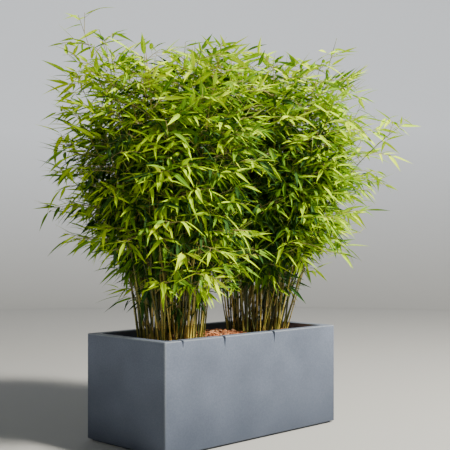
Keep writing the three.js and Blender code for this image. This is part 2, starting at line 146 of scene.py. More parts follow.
def gridFaces(rows, columns, closed=False):
    # the four corners of each cell between rows of points, which join into rings if closed
    faces = []
    for start in range(0, (rows - 1) * columns, columns):
        for i in range(columns if closed else columns - 1):
            a, b = start + i, start + (i + 1) % columns
            faces.append((a, b, b + columns, a + columns))
    return faces


def halved(faces):
    # two triangles for each face of four corners
    return [half for a, b, c, d in faces for half in ((a, b, c), (a, c, d))]


class Bin:
    # gathers the points and triangles of many small shapes for one piece
    def __init__(self):
        self.points, self.faces, self.uvs, self.count = [], [], [], 0

    def add(self, points, faces, uvs=None):
        self.points.append(points)
        self.faces.append(np.asarray(faces) + self.count)
        self.uvs.append(np.zeros((len(points), 2)) if uvs is None else uvs)
        self.count += len(points)

    def build(self, name, material, slot, nodes, smooth=True):
        faces = np.concatenate(self.faces)
        mesh = newMesh(name, np.concatenate(self.points), faces)
        mesh.polygons.foreach_set("use_smooth", np.full(len(faces), smooth))
        uvs = np.concatenate(self.uvs)[faces].astype(np.float32)
        mesh.uv_layers.new(name="along").data.foreach_set("uv", uvs.ravel())
        placePiece(name, mesh, material, nodes)


def tube(centres, tangents, sideways, radii, sides, closed=True):
    # rings round a line, with a point at its far end if closed
    centres = np.asarray(centres)
    tangents, sideways = (np.broadcast_to(v, centres.shape) for v in (tangents, sideways))
    across = np.cross(tangents, sideways)
    angles = np.arange(sides) * 2 * math.pi / sides
    cosines, sines = np.cos(angles)[None, :, None], np.sin(angles)[None, :, None]
    ring = cosines * sideways[:, None, :] + sines * across[:, None, :]
    points = (centres[:, None, :] + ring * np.asarray(radii)[:, None, None]).reshape(-1, 3)
    faces = halved(gridFaces(len(centres), sides, closed=True))
    if not closed:
        return points, faces
    last = len(points) - sides
    tip = centres[-1] + tangents[-1] * radii[-1]
    faces += [(last + i, last + (i + 1) % sides, last + sides) for i in range(sides)]
    return np.vstack([points, tip]), faces


# Finishes

def wire(tree, node, inputs):
    # an input takes a fixed value, or a link where it is given another node's output
    for name, value in inputs.items():
        if isinstance(value, bpy.types.NodeSocket):
            tree.links.new(value, node.inputs[name])
        else:
            node.inputs[name].default_value = value
    return node


def addNode(tree, kind, inputs, operation=None):
    node = tree.nodes.new("ShaderNode" + kind)
    if operation:
        node.operation = operation
    return wire(tree, node, inputs)


def newFinish(name):
    material = bpy.data.materials.new(name)
    material.use_nodes = True
    return material, material.node_tree, material.node_tree.nodes["Principled BSDF"]


def noiseNode(tree, place, scale, detail, roughness=0.55):
    inputs = {"Vector": place, "Scale": scale, "Detail": detail, "Roughness": roughness}
    return addNode(tree, "TexNoise", inputs).outputs["Fac"]


def colourRamp(tree, factor, stops):
    ramp = addNode(tree, "ValToRGB", {"Fac": factor})
    elements = ramp.color_ramp.elements
    while len(elements) < len(stops):
        elements.new(0.5)
    for element, (place, colour) in zip(elements, stops):
        element.position = place
        element.color = (*colour, 1)
    return ramp.outputs["Color"]


def mixColours(tree, factor, a, b):
    node = tree.nodes.new("ShaderNodeMix")
    node.data_type = "RGBA"
    return wire(tree, node, {"Factor": factor, 6: a, 7: b}).outputs[2]


def spread(tree, value, low, high):
    # most of a noise lies between 0.3 and 0.7
    inputs = {"Value": value, "From Min": 0.3, "From Max": 0.7, "To Min": low, "To Max": high}
    return addNode(tree, "MapRange", inputs).outputs["Result"]


def withFootShadeAndClouds(tree, place, colour, footShadeAndClouds):
    # painted shade: darkens the colour towards the foot, and in broad clouds of random tone
    height = addNode(tree, "SeparateXYZ", {"Vector": place}).outputs["Z"]
    inputs = {"Value": height, "From Max": footShadeAndClouds["height"], "To Min": footShadeAndClouds["foot"]}
    rise = addNode(tree, "MapRange", inputs).outputs["Result"]
    clouds = spread(tree, noiseNode(tree, place, footShadeAndClouds["scale"], 2.0), footShadeAndClouds["cloud"], 1.0)
    both = addNode(tree, "Math", {0: rise, 1: clouds}, "MULTIPLY")
    return mixColours(tree, both.outputs["Value"], (*footShadeAndClouds["dark"], 1), colour)


def mottledFinish(name, look):
    # colours that drift with a noise, rougher and smoother patches, and a fine grain
    material, tree, shader = newFinish(name)
    place = tree.nodes.new("ShaderNodeTexCoord").outputs["Object"]
    stretched = {"Vector": place, "Scale": look.get("stretch", (1, 1, 1))}
    along = addNode(tree, "Mapping", stretched).outputs["Vector"]
    drift = noiseNode(tree, along, look["scale"], look.get("detail", 4.0))
    colour = colourRamp(tree, drift, look["colours"])
    # painted shade darker towards the foot, with broad clouds of random tone
    if "footShadeAndClouds" in look:
        colour = withFootShadeAndClouds(tree, place, colour, look["footShadeAndClouds"])
    patches = noiseNode(tree, along, look["scale"] * 0.6, 2.0)
    grain = noiseNode(tree, along, look["grainScale"], 4.0, 0.65)
    relief = {"Strength": look["grain"], "Distance": look["grainDepth"], "Height": grain}
    wire(tree, shader, {
        "Base Color": colour, "Roughness": spread(tree, patches, *look["roughness"]),
        "Normal": addNode(tree, "Bump", relief).outputs["Normal"],
        "Specular IOR Level": look["gloss"],
    })
    return material


# what the blades of all leaves have in common, whatever their green
bladeLook = {
    "driftScale": 9.0, "rib": (0.02, 0.07), "veinScale": 4.0, "veinDistortion": 0.4,
    "veins": 0.25, "veinDepth": 0.0006, "smoother": 0.05, "rougher": 0.08, "gloss": 0.05,
}


def leafFinish(name, shade, light, ribColour, roughness):
    # a paler midrib, fine veins along the blade and a slow drift of the green
    look = bladeLook
    material, tree, shader = newFinish(name)
    coordinates = tree.nodes.new("ShaderNodeTexCoord").outputs
    across = addNode(tree, "SeparateXYZ", {"Vector": coordinates["UV"]}).outputs["X"]
    fromRib = addNode(tree, "Math", {0: across, 1: 0.5}, "SUBTRACT").outputs["Value"]
    aside = addNode(tree, "Math", {0: fromRib}, "ABSOLUTE").outputs["Value"]
    drift = noiseNode(tree, coordinates["Object"], look["driftScale"], 3.0)
    blade = colourRamp(tree, drift, [(0.3, shade), (0.7, light)])
    rib = colourRamp(tree, aside, list(zip(look["rib"], [(1, 1, 1), (0, 0, 0)])))
    wave = {"Vector": coordinates["UV"], "Scale": look["veinScale"], "Distortion": look["veinDistortion"]}
    veins = addNode(tree, "TexWave", wave)
    veins.bands_direction = "X"
    relief = {"Strength": look["veins"], "Distance": look["veinDepth"], "Height": veins.outputs["Fac"]}
    wire(tree, shader, {
        "Base Color": mixColours(tree, rib, blade, (*ribColour, 1)),
        "Roughness": spread(tree, drift, roughness - look["smoother"], roughness + look["rougher"]),
        "Normal": addNode(tree, "Bump", relief).outputs["Normal"],
        "Specular IOR Level": look["gloss"],
    })
    return material


# Planter

planterSize = {
    "length": 1.04, "width": 0.5, "height": 0.45, "wall": 0.04,
    "corner": 0.007, "cavityCorner": 0.018, "rimRounding": 0.0045, "innerRounding": 0.003,
    "plinthHeight": 0.007, "plinthInset": 0.014, "floor": 0.04,
    "cornerSteps": 8, "roundingSteps": 5, "holding": 0.002,
    # nicks in the front rim: distance from the left corner, width and depth
    "nicks": [(0.092, 0.014, 0.031), (0.322, 0.017, 0.049), (0.622, 0.017, 0.049)],
    # a nick's outline in shares of its width and depth: steep on the right, hollowed on the left
    "nickOutline": [
        (0.16, -1.0), (0.3, -0.45), (0.36, 0.0), (0.36, 0.1),
        (-0.64, 0.1), (-0.64, 0.0), (-0.22, -0.22), (-0.04, -0.55),
    ],
    "nickBefore": 0.25, "nickThrough": 1.5,  # the cut starts outside the wall and ends past it, in walls
    "softUpTo": 35, "flat": 0.996,  # a face tilted past this cosine is part of a rounded edge
}

slateLook = {
    "colours": [(0.34, (0.14, 0.168, 0.23)), (0.5, (0.158, 0.186, 0.253)), (0.66, (0.18, 0.208, 0.278))],
    "scale": 190.0, "detail": 6.0, "roughness": (0.44, 0.58),
    "grainScale": 380.0, "grain": 0.35, "grainDepth": 0.0012, "gloss": 0.12,
    # painted shade: the slate darkens towards the foot, with broad clouds of random tone
    "footShadeAndClouds": {"dark": (0.034, 0.043, 0.064), "height": 0.42, "foot": 0.34, "scale": 3.6, "cloud": 0.62},
}
# painted highlight: the rounded edges are lighter and glossier than the slate, and darken towards the foot
# so the highlight stays near the top
edgeHighlightLook = {
    "colours": [(0.35, (0.185, 0.218, 0.272)), (0.65, (0.26, 0.292, 0.345))],
    "scale": 150.0, "detail": 6.0, "roughness": (0.34, 0.46),
    "grainScale": 380.0, "grain": 0.3, "grainDepth": 0.001, "gloss": 0.3,
    "footShadeAndClouds": {"dark": (0.06, 0.075, 0.105), "height": 0.46, "foot": 0.0, "scale": 9.0, "cloud": 0.75},
}


def roundedLoop(inset, z, radius):
    # a rounded rectangle with a held edge on both sides of each corner
    size = planterSize
    halfX, halfY = size["length"] / 2 - inset, size["width"] / 2 - inset
    steps, hold = size["cornerSteps"], size["holding"]
    points = []
    for start, signX, signY in [(-90, 1, -1), (0, 1, 1), (90, -1, 1), (180, -1, -1)]:
        centre = np.array([signX * (halfX - radius), signY * (halfY - radius), z])
        arc = [centre + radius * levelDirection(start + 90 * k / steps) for k in range(steps + 1)]
        before, after = levelDirection(start + 90) * hold, levelDirection(start + 180) * hold
        points += [arc[0] - before, *arc, arc[-1] + after]
    return points


def quarterTurn():
    # sine and cosine at each step of a rounded edge
    steps = planterSize["roundingSteps"]
    angles = [math.radians(90 * step / steps) for step in range(steps + 1)]
    return [(math.sin(angle), math.cos(angle)) for angle in angles]


def planterProfile():
    # inset from the outer face, height and corner radius, from the foot round to the inside floor
    size = planterSize
    bottom, top, wall, hold = size["plinthHeight"], size["height"], size["wall"], size["holding"]
    corner, cavity = size["corner"], size["cavityCorner"]
    rounding, inner = size["rimRounding"], size["innerRounding"]
    profile = [(size["plinthInset"], 0.0, corner), (size["plinthInset"], bottom, corner)]
    profile.append((rounding + hold, bottom, corner))
    for sine, cosine in quarterTurn():
        inset = rounding * (1 - sine)
        profile.append((inset, bottom + rounding * (1 - cosine), corner - inset))
    profile += [(0.0, bottom + rounding + hold, corner), (0.0, top - rounding - hold, corner)]
    for sine, cosine in quarterTurn():
        inset = rounding * (1 - cosine)
        profile.append((inset, top - rounding * (1 - sine), corner - inset))
    profile += [(rounding + hold, top, corner - rounding), (wall - inner - hold, top, cavity)]
    for sine, cosine in quarterTurn():
        profile.append((wall - inner * (1 - sine), top - inner * (1 - cosine), cavity))
    return profile + [(wall, top - inner - hold, cavity), (wall, size["floor"], cavity)]


def cutNicks(piece):
    size = planterSize
    shape = bmesh.new()
    near = -size["width"] / 2 - size["wall"] * size["nickBefore"]
    far = near + size["wall"] * size["nickThrough"]
    for along, width, depth in size["nicks"]:
        x = -size["length"] / 2 + along
        outline = [(x + width * a, size["height"] + depth * b) for a, b in size["nickOutline"]]
        front = [shape.verts.new((a, near, b)) for a, b in outline]
        back = [shape.verts.new((a, far, b)) for a, b in outline]
        shape.faces.new(front)
        shape.faces.new(back[::-1])
        for i in range(len(outline)):
            j = (i + 1) % len(outline)
            shape.faces.new((front[j], front[i], back[i], back[j]))
    cutter = linkObject("nickShapes", meshFrom(shape, "nickShapes"))
    modifier = piece.modifiers.new("nicks", "BOOLEAN")
    modifier.operation, modifier.solver, modifier.object = "DIFFERENCE", "EXACT", cutter
    bpy.context.view_layer.update()
    cut = bpy.data.meshes.new_from_object(piece.evaluated_get(bpy.context.evaluated_depsgraph_get()))
    piece.modifiers.clear()
    piece.data = cut
    bpy.data.objects.remove(cutter)


def makePlanter():
    loops = [roundedLoop(*row) for row in planterProfile()]
    count, total = len(loops[0]), sum(len(loop) for loop in loops)
    faces = gridFaces(len(loops), count, closed=True)
    faces += [range(count)[::-1], range(total - count, total)]
    mesh = newMesh("planterShell", np.concatenate(loops), faces)
    piece = placePiece("planterShell", mesh, mottledFinish("slate", slateLook), ["planter"])
    cutNicks(piece)
    smoothUpTo(piece.data, planterSize["softUpTo"])
    # the rounded edges take the lighter finish as a painted highlight
    piece.data.materials.append(mottledFinish("slateEdgeHighlight", edgeHighlightLook))
    for face in piece.data.polygons:
        if max(abs(value) for value in face.normal) < planterSize["flat"]:
            face.material_index = 1


makePlanter()
print("planter made")


# Mulch of bark chips on the soil

soilTop = 0.405
mulch = {
    "cells": (150, 64), "relief": 0.006, "reliefScale": 38.0, "fineShare": 0.5, "fineScale": 90,
    "fineFrom": 5, "softUpTo": 50, "gap": 0.0003, "middleHeap": 0.026, "heapHalf": (0.17, 0.16),
    "chips": 2300, "seed": 71, "length": (0.014, 0.04), "lengthPower": 1.6, "widthShare": (0.34, 0.66),
    "thickness": (0.0025, 0.007), "heap": 0.012, "heapPower": 1.5, "tilt": 34,
    "clearOfCulm": 0.009, "clearOfWall": 0.58,  # the second in lengths of the chip
    "deals": [("chipsRust", 0.45), ("chipsUmber", 0.78), ("chipsPale", 1)],
}
# a chip's uneven outline, its smaller top and its peak, in shares of its size
chipShape = {
    "turn": 24, "reach": 0.8, "reachVariety": 0.35, "topLength": 0.86, "topWidth": 0.8,
    "topHeight": 0.3, "topVariety": 0.3, "peakAside": 0.08, "peak": 0.7,
}

mulchLook = {
    "colours": [(0.32, (0.03, 0.014, 0.008)), (0.5, (0.085, 0.036, 0.017)), (0.7, (0.19, 0.078, 0.032))],
    "scale": 60.0, "roughness": (0.85, 0.97), "grainScale": 260.0, "grain": 0.9, "grainDepth": 0.004,
    "gloss": 0.2,
}
chipLook = {
    "scale": 55.0, "roughness": (0.75, 0.92), "grainScale": 300.0, "grain": 0.7, "grainDepth": 0.002,
    "gloss": 0.25,
}
chipColours = {
    "chipsRust": [(0.3, (0.4, 0.13, 0.05)), (0.7, (0.64, 0.26, 0.105))],
    "chipsUmber": [(0.3, (0.15, 0.056, 0.026)), (0.7, (0.29, 0.115, 0.052))],
    "chipsPale": [(0.3, (0.62, 0.32, 0.16)), (0.7, (0.8, 0.5, 0.29))],
}


def insideCavity(x, y, margin):
    # the nearest point that keeps the margin to the planter's inner walls
    size = planterSize
    inset = size["wall"] + margin
    halfX, halfY = size["length"] / 2 - inset, size["width"] / 2 - inset
    x, y = min(max(x, -halfX), halfX), min(max(y, -halfY), halfY)
    radius = size["cavityCorner"]
    overX, overY = abs(x) - (halfX - radius), abs(y) - (halfY - radius)
    distance = math.hypot(overX, overY)
    if overX > 0 and overY > 0 and distance > radius:
        x = math.copysign(halfX - radius + overX * radius / distance, x)
        y = math.copysign(halfY - radius + overY * radius / distance, y)
    return x, y


def heapAt(x, y):
    # the mulch lies a little higher between the two clumps
    halfX, halfY = mulch["heapHalf"]
    return mulch["middleHeap"] * max(0, 1 - (x / halfX) ** 2) * max(0, 1 - (y / halfY) ** 2)


def reliefAt(x, y):
    coarse = noise.noise(Vector((x, y, 0)) * mulch["reliefScale"])
    fine = noise.noise(Vector((x, y, mulch["fineFrom"])) * mulch["fineScale"])
    return mulch["relief"] * (coarse + mulch["fineShare"] * fine)


def makeMulchBed():
    size = planterSize
    columns, rows = mulch["cells"]
    shape = bmesh.new()
    grid = []
    for j in range(rows + 1):
        for i in range(columns + 1):
            x, y = (i / columns - 0.5) * size["length"], (j / rows - 0.5) * size["width"]
            x, y = insideCavity(x, y, mulch["gap"])
            grid.append(shape.verts.new((x, y, soilTop + reliefAt(x, y) + heapAt(x, y))))
    for cell in gridFaces(rows + 1, columns + 1):
        shape.faces.new([grid[k] for k in cell])
    bmesh.ops.remove_doubles(shape, verts=shape.verts, dist=1e-5)
    rim = [edge for edge in shape.edges if len(edge.link_faces) == 1]
    made = bmesh.ops.extrude_edge_only(shape, edges=rim)["geom"]
    for vertex in (v for v in made if isinstance(v, bmesh.types.BMVert)):
        vertex.co.z = size["floor"] + mulch["gap"]
    bmesh.ops.holes_fill(shape, edges=[edge for edge in shape.edges if len(edge.link_faces) == 1])
    bmesh.ops.recalc_face_normals(shape, faces=shape.faces)
    mesh = meshFrom(shape, "mulchBed")
    smoothUpTo(mesh, mulch["softUpTo"])
    placePiece("mulchBed", mesh, mottledFinish("darkMulch", mulchLook), ["bark_and_soil"])


def flake(centre, length, width, thickness, heading, tilt, random):
    # an uneven six-cornered flake, thicker in the middle
    look = chipShape
    angles = [math.radians(60 * k + look["turn"] * (random() - 0.5)) for k in range(6)]
    reach = [look["reach"] + look["reachVariety"] * random() for _ in range(6)]
    outline = [(length / 2 * r * math.cos(a), width / 2 * r * math.sin(a)) for a, r in zip(angles, reach)]
    points = [(x, y, -thickness / 2) for x, y in outline]
    for x, y in outline:
        height = thickness * (look["topHeight"] + look["topVariety"] * random())
        points.append((x * look["topLength"], y * look["topWidth"], height))
    points.append((length * look["peakAside"] * (random() - 0.5), 0, thickness * look["peak"]))
    side = levelDirection(heading + 90)
    along = turned(levelDirection(heading), side, -tilt)
    aside = turned(side, along, tilt * swing(random))
    faces = halved(gridFaces(2, 6, closed=True)) + [(0, k + 1, k) for k in range(1, 5)]
    faces += [(6 + k, 6 + (k + 1) % 6, 12) for k in range(6)]
    return np.array(points) @ [along, aside, np.cross(along, aside)] + centre, faces


def makeChips(feet):
    random = makeRandom(mulch["seed"])
    bins = {name: Bin() for name in chipColours}
    made = 0
    while made < mulch["chips"]:
        length = mix(*mulch["length"], random() ** mulch["lengthPower"])
        x, y = swing(random) * (planterSize["length"] / 2), swing(random) * (planterSize["width"] / 2)
        nearest = np.min(np.hypot(feet[:, 0] - x, feet[:, 1] - y))
        if insideCavity(x, y, length * mulch["clearOfWall"]) != (x, y) or nearest < mulch["clearOfCulm"]:
            continue
        width = length * mix(*mulch["widthShare"], random())
        z = soilTop + mulch["heap"] * random() ** mulch["heapPower"] + heapAt(x, y)
        deal = random()
        name = next(kind for kind, limit in mulch["deals"] if deal < limit)
        thickness = mix(*mulch["thickness"], random())
        tilt = swing(random) * mulch["tilt"]
        bins[name].add(*flake(np.array([x, y, z]), length, width, thickness, random() * 360, tilt, random))
        made += 1
    for name, stops in chipColours.items():
        finish = mottledFinish(name, {**chipLook, "colours": stops})
        bins[name].build(name, finish, "bark", ["bark_and_soil"], smooth=False)


# Culms, laid out by the same rule as the part's canes

clumps = [
    {
        "name": "left", "x": -0.27, "inward": 0, "seed": 11, "spread": 0.72,
        "slimX": -0.27, "wideTurn": 140, "wideShare": 0.13,
    },
    {
        "name": "right", "x": 0.252, "inward": 180, "seed": 29, "spread": 0.82,
        "slimX": 0.268, "wideTurn": -42, "wideShare": 0.24,
    },
]
clumpRule = {
    "foot": (0.128, 0.112), "sectors": 6, "firstSector": 30, "middleTurn": 20, "spacing": 0.013,
    "turnJitter": 5, "leanJitter": 1.2, "archJitter": 2, "lengthJitter": 0.03, "sectorJitter": 6,
    "inwardShare": 0.5, "straightShare": 0.35, "gap": 0.0003,
}
# tiers of a tuft: steps outwards and sideways, turn, lean, arch, length and where the leaves start
sectorTiers = [
    ("high", -0.5, 0, 0, 8.5, 20, 1.225, 0.48),
    ("mid", 0.35, 0.6, 21, 10, 22, 0.93, 0.43),
    ("low", 0.55, -0.5, -21, 11, 33, 0.53, 0.36),
    ("shoot", -1.5, 0.1, 0, 4, 12, 0.64, 0.7),
]
middleTiers = [
    ("top_1", 0.6, 0, 0, 4.5, 9, 1.26, 0.48),
    ("top_2", -0.35, 0.5, 120, 4.5, 9, 1.24, 0.46),
    ("top_3", -0.35, -0.5, 240, 4.5, 9, 1.27, 0.5),
]
# canes that differ from the rule of their tier: how much longer, and degrees more lean
strays = {
    "left_3_high": (1.1, 0.6), "left_2_low": (1.03, 0.8), "left_4_high": (0.98, 0.4),
    "right_2_mid": (0.97, -0.6), "right_6_mid": (1.17, 15),
}


class Culm:
    # straight at first, then one even arch outwards
    def __init__(self, name, foot, azimuth, lean, arch, length, leafyFrom, seed):
        self.name, self.foot, self.length, self.leafyFrom, self.seed = name, foot, length, leafyFrom, seed
        self.lean, self.arch = math.radians(lean), math.radians(max(arch, 1))
        self.outward, self.sideways = levelDirection(azimuth), levelDirection(azimuth + 90)

    def tilt(self, t):
        straight = clumpRule["straightShare"]
        return self.lean + self.arch * np.maximum(0, t - straight) / (1 - straight)

    def point(self, t):
        t = np.asarray(t, float)
        straight = np.minimum(t, clumpRule["straightShare"]) * self.length
        radius = (1 - clumpRule["straightShare"]) * self.length / self.arch
        tilt = self.tilt(t)
        out = straight * math.sin(self.lean) + radius * (math.cos(self.lean) - np.cos(tilt))
        rise = straight * math.cos(self.lean) + radius * (np.sin(tilt) - math.sin(self.lean))
        return self.foot + out[..., None] * self.outward + rise[..., None] * upward

    def tangent(self, t):
        tilt = self.tilt(np.asarray(t, float))
        return np.cos(tilt)[..., None] * upward + np.sin(tilt)[..., None] * self.outward


def footOffset(azimuth):
    along = levelDirection(azimuth)
    return np.array([clumpRule["foot"][0] * along[0], clumpRule["foot"][1] * along[1], 0])


def keptSpread(clump, azimuth):
    # culms that face the other clump lean and arch less
    facing = max(0, math.cos(math.radians(azimuth - clump["inward"])))
    return mix(1, clumpRule["inwardShare"], facing) * clump["spread"]


def layOutTuft(clump, name, azimuth, centre, tiers, random):
    rule = clumpRule
    outward, sideways = levelDirection(azimuth), levelDirection(azimuth + 90)
    culms = []
    for tier, out, across, turn, lean, arch, length, leafyFrom in tiers:
        cane = f"{name}_{tier}"
        longer, leanMore = strays.get(cane, (1, 0))
        heading = azimuth + turn + swing(random) * rule["turnJitter"]
        keep = keptSpread(clump, heading)
        foot = centre + outward * out * rule["spacing"] + sideways * across * rule["spacing"]
        lean = lean * keep + leanMore + swing(random) * rule["leanJitter"]
        arch = arch * keep + swing(random) * rule["archJitter"]
        length = length * longer * (1 + swing(random) * rule["lengthJitter"])
        culms.append(Culm(cane, foot, heading, lean, arch, length, leafyFrom, int(random() * 1e6)))
    return culms


def layOutClump(clump):
    rule = clumpRule
    random = makeRandom(clump["seed"])
    middle = np.array([clump["x"], 0, soilTop + rule["gap"]])
    culms = layOutTuft(clump, clump["name"], rule["middleTurn"], middle, middleTiers, random)
    for i in range(rule["sectors"]):
        azimuth = rule["firstSector"] + 360 * i / rule["sectors"] + swing(random) * rule["sectorJitter"]
        centre = middle + footOffset(azimuth)
        culms += layOutTuft(clump, f"{clump['name']}_{i + 1}", azimuth, centre, sectorTiers, random)
    return culms


# single sprouts that stand up out of the crown
sproutRule = {"footOut": 0.09, "leafyFrom": 0.7}
sprouts = [  # name, clump, azimuth, lean, arch, length and seed
    ("right_sprout", 1, -44, 9.5, 7, 1.405, 1897), ("right_reach", 1, -44, 20, 34, 1.15, 1601),
    ("left_sprout", 0, 150, 5, 13, 1.33, 1781), ("middle_sprout", 0, 20, 4, 6, 1.33, 1863),
]


def layOutSprout(name, clump, azimuth, lean, arch, length, seed):
    foot = np.array([clumps[clump]["x"], 0, soilTop]) + levelDirection(azimuth) * sproutRule["footOut"]
    return Culm(name, foot, azimuth, lean, arch, length, sproutRule["leafyFrom"], seed)


# slim culms of the year that stand between the tufts
slimCulms = {
    "perClump": 104, "moreSeed": 500, "apart": 0.008, "reach": 1.16,
    "lean": (0, 12), "leanVariety": 14, "turnVariety": 80, "arch": (4, 24),
    "length": (0.1, 1.31), "lengthPower": 0.75, "leafyFrom": 0.46,
    "radius": 0.0028, "shootRadius": 0.0016, "shootLength": 0.35,
    # some lean further out towards the clump's own end of the planter
    "wideLean": 9, "wideVariety": 35, "wideLength": (0.75, 1.15),
    # their twigs: how many at a node, how long against the others, and how far they keep from the box
    "perNode": 1.1, "twigScale": 0.62, "shortScale": 0.4, "boxInset": 0.07,
}


def layOutSlimCulms(clump, neighbours):
    look = slimCulms
    random = makeRandom(clump["seed"] + look["moreSeed"])
    feet = [culm.foot for culm in neighbours]
    made = []
    while len(made) < look["perClump"]:
        azimuth, reach = random() * 360, math.sqrt(random()) * look["reach"]
        foot = np.array([clump["slimX"], 0, soilTop]) + footOffset(azimuth) * reach
        if min(np.hypot(*(foot - other)[:2]) for other in feet) < look["apart"]:
            continue
        keep = keptSpread(clump, azimuth)
        lean = abs(mix(*look["lean"], reach) * keep + (random() - 0.5) * look["leanVariety"])
        azimuth += swing(random) * look["turnVariety"]
        arch = mix(*look["arch"], random()) * keep
        length = mix(*look["length"], random() ** look["lengthPower"])
        if random() < clump["wideShare"]:
            azimuth = clump["wideTurn"] + swing(random) * look["wideVariety"]
            lean, length = lean + look["wideLean"], mix(*look["wideLength"], random())
        name = f"{clump['name']}_slim_{len(made)}"
        feet.append(foot)
        made.append(Culm(name, foot, azimuth, lean, arch, length, look["leafyFrom"], int(random() * 1e6)))
    return made


culmShape = {
    "sides": 8, "slimSides": 6, "footRadius": 0.005, "radius": 0.004, "tipRadius": 0.0011,
    "taper": 1.15, "flareHeight": 0.05, "sink": 0.012, "moreSeed": 7,
    # lengths between nodes, and the share and variety of each
    "firstInternode": 0.042, "longestInternode": 0.105, "longestFrom": 0.33, "leafyInternode": 0.06,
    "first": (0.6, 0.5), "others": (0.86, 0.28), "bareTip": 0.025,
    # places beside a node and the swelling there: its ridge, and the dark scar that runs round below it
    "ridge": [(-0.0042, 1.0), (-0.0016, 1.2), (0.0016, 1.164), (0.0042, 0.98)],
    "scar": [(-0.0031, 1.13), (-0.0022, 1.27), (-0.0013, 1.2)],
    # culm colours dealt at random, partly real and partly painted sunlight and shade
    "deals": [("culmsStrawAndSunlit", 0.2), ("culmsOlive", 0.54), ("culmsGreenAndShade", 1)],
}

culmLook = {
    "scale": 26.0, "stretch": (1, 1, 0.22), "roughness": (0.32, 0.5),
    "grainScale": 300.0, "grain": 0.3, "grainDepth": 0.0008, "gloss": 0.5,
}
# partly real culm colours and partly painted light: the straw culms are brighter as painted sunlight, the
# green ones darker as painted shade
culmColours = {
    "culmsOlive": [(0.3, (0.06, 0.062, 0.008)), (0.52, (0.17, 0.165, 0.018)), (0.72, (0.4, 0.37, 0.06))],
    "culmsStrawAndSunlit": [(0.3, (0.22, 0.16, 0.026)), (0.52, (0.52, 0.42, 0.07)), (0.72, (0.8, 0.7, 0.2))],
    "culmsGreenAndShade": [(0.3, (0.016, 0.024, 0.005)), (0.52, (0.04, 0.056, 0.008)), (0.72, (0.14, 0.17, 0.024))],
}
scarLook = {
    "colours": [(0.3, (0.05, 0.034, 0.014)), (0.7, (0.12, 0.08, 0.034))], "scale": 60.0,
    "roughness": (0.6, 0.8), "grainScale": 300.0, "grain": 0.4, "grainDepth": 0.0006, "gloss": 0.3,
}


def nodeDistances(culm, random):
    look = culmShape
    share, variety = look["others"]
    distance = look["firstInternode"] * (look["first"][0] + look["first"][1] * random())
    distances = []
    while distance < culm.length - look["bareTip"]:
        distances.append(distance)
        grown = min(1, distance / look["longestFrom"])
        step = mix(look["firstInternode"], look["longestInternode"], grown)
        if distance > culm.leafyFrom * culm.length:
            step = look["leafyInternode"]
        distance += step * (share + variety * random())
    return distances


def culmRadius(culm, distance):
    look = culmShape
    base = look["radius"]
    if "slim" in culm.name:
        grown = min(1, culm.length / slimCulms["shootLength"])
        base = mix(slimCulms["shootRadius"], slimCulms["radius"], grown)
    share = np.clip(distance / culm.length, 0, 1)
    flare = (look["footRadius"] / look["radius"] - 1) * np.clip(1 - distance / look["flareHeight"], 0, 1)
    return mix(base, look["tipRadius"], share ** look["taper"]) * (1 + flare)


def makeCulms(culms):
    look = culmShape
    bins = {name: Bin() for name in culmColours}
    scars = Bin()
    places, swellings = zip(*look["scar"])
    for culm in culms:
        random = makeRandom(culm.seed + look["moreSeed"])
        culm.nodes = nodeDistances(culm, random)
        stations = [(distance + place, swell) for distance in culm.nodes for place, swell in look["ridge"]]
        distances, swell = np.array([(-look["sink"], 1.0), *stations, (culm.length, 1.0)]).T
        shares = np.maximum(distances / culm.length, 0)
        centres, tangents = culm.point(shares), culm.tangent(shares)
        centres[0] = centres[0] - tangents[0] * look["sink"]
        sides = look["slimSides"] if "slim" in culm.name else look["sides"]
        deal = random()
        kind = next(name for name, limit in look["deals"] if deal < limit)
        radii = culmRadius(culm, distances) * swell
        bins[kind].add(*tube(centres, tangents, culm.sideways, radii, sides))
        for distance in culm.nodes:
            share = (distance + np.array(places)) / culm.length
            radii = culmRadius(culm, distance) * np.array(swellings)
            line = culm.point(share), culm.tangent(share), culm.sideways
            scars.add(*tube(*line, radii, sides, closed=False))
    for name, stops in culmColours.items():
        bins[name].build(name, mottledFinish(name, {**culmLook, "colours": stops}), "cane", caneNodes)
    scars.build("nodeScars", mottledFinish("nodeScar", scarLook), "cane", caneNodes)


# Papery sheaths that still wrap the lower internodes, some of them peeling away

sheath = {
    "highest": 0.62, "share": 0.2, "around": (120, 250), "cover": (0.45, 0.95), "columns": 7, "rows": 5,
    "fromNode": 0.001, "loose": 1.05, "stand": 0.0004, "peel": (0.0, 0.009), "peelPower": 3,
    "narrow": 0.93, "narrowFrom": 0.35, "narrowPower": 1.2, "moreSeed": 19,
}

sheathLook = {
    "colours": [(0.3, (0.22, 0.15, 0.044)), (0.5, (0.4, 0.29, 0.085)), (0.72, (0.62, 0.49, 0.18))],
    "scale": 45.0, "stretch": (1, 1, 0.12), "roughness": (0.7, 0.9),
    "grainScale": 500.0, "grain": 0.6, "grainDepth": 0.0008, "gloss": 0.2,
}


def sheathPoints(culm, distance, reach, around, first, peel):
    look = sheath
    points = []
    for v in np.arange(look["rows"]) / (look["rows"] - 1):
        share = (distance + look["fromNode"] + reach * v) / culm.length
        centre, direction = culm.point(share), culm.tangent(share)
        across = np.cross(direction, culm.sideways)
        radius = culmRadius(culm, distance + reach * v) * look["loose"] + look["stand"] + peel * v ** 2
        past = max(0, (v - look["narrowFrom"]) / (1 - look["narrowFrom"]))
        narrow = 1 - look["narrow"] * past ** look["narrowPower"]
        for i in range(look["columns"]):
            angle = first + around * ((i / (look["columns"] - 1) - 0.5) * narrow)
            points.append(centre + radius * (math.cos(angle) * culm.sideways + math.sin(angle) * across))
    return np.array(points)


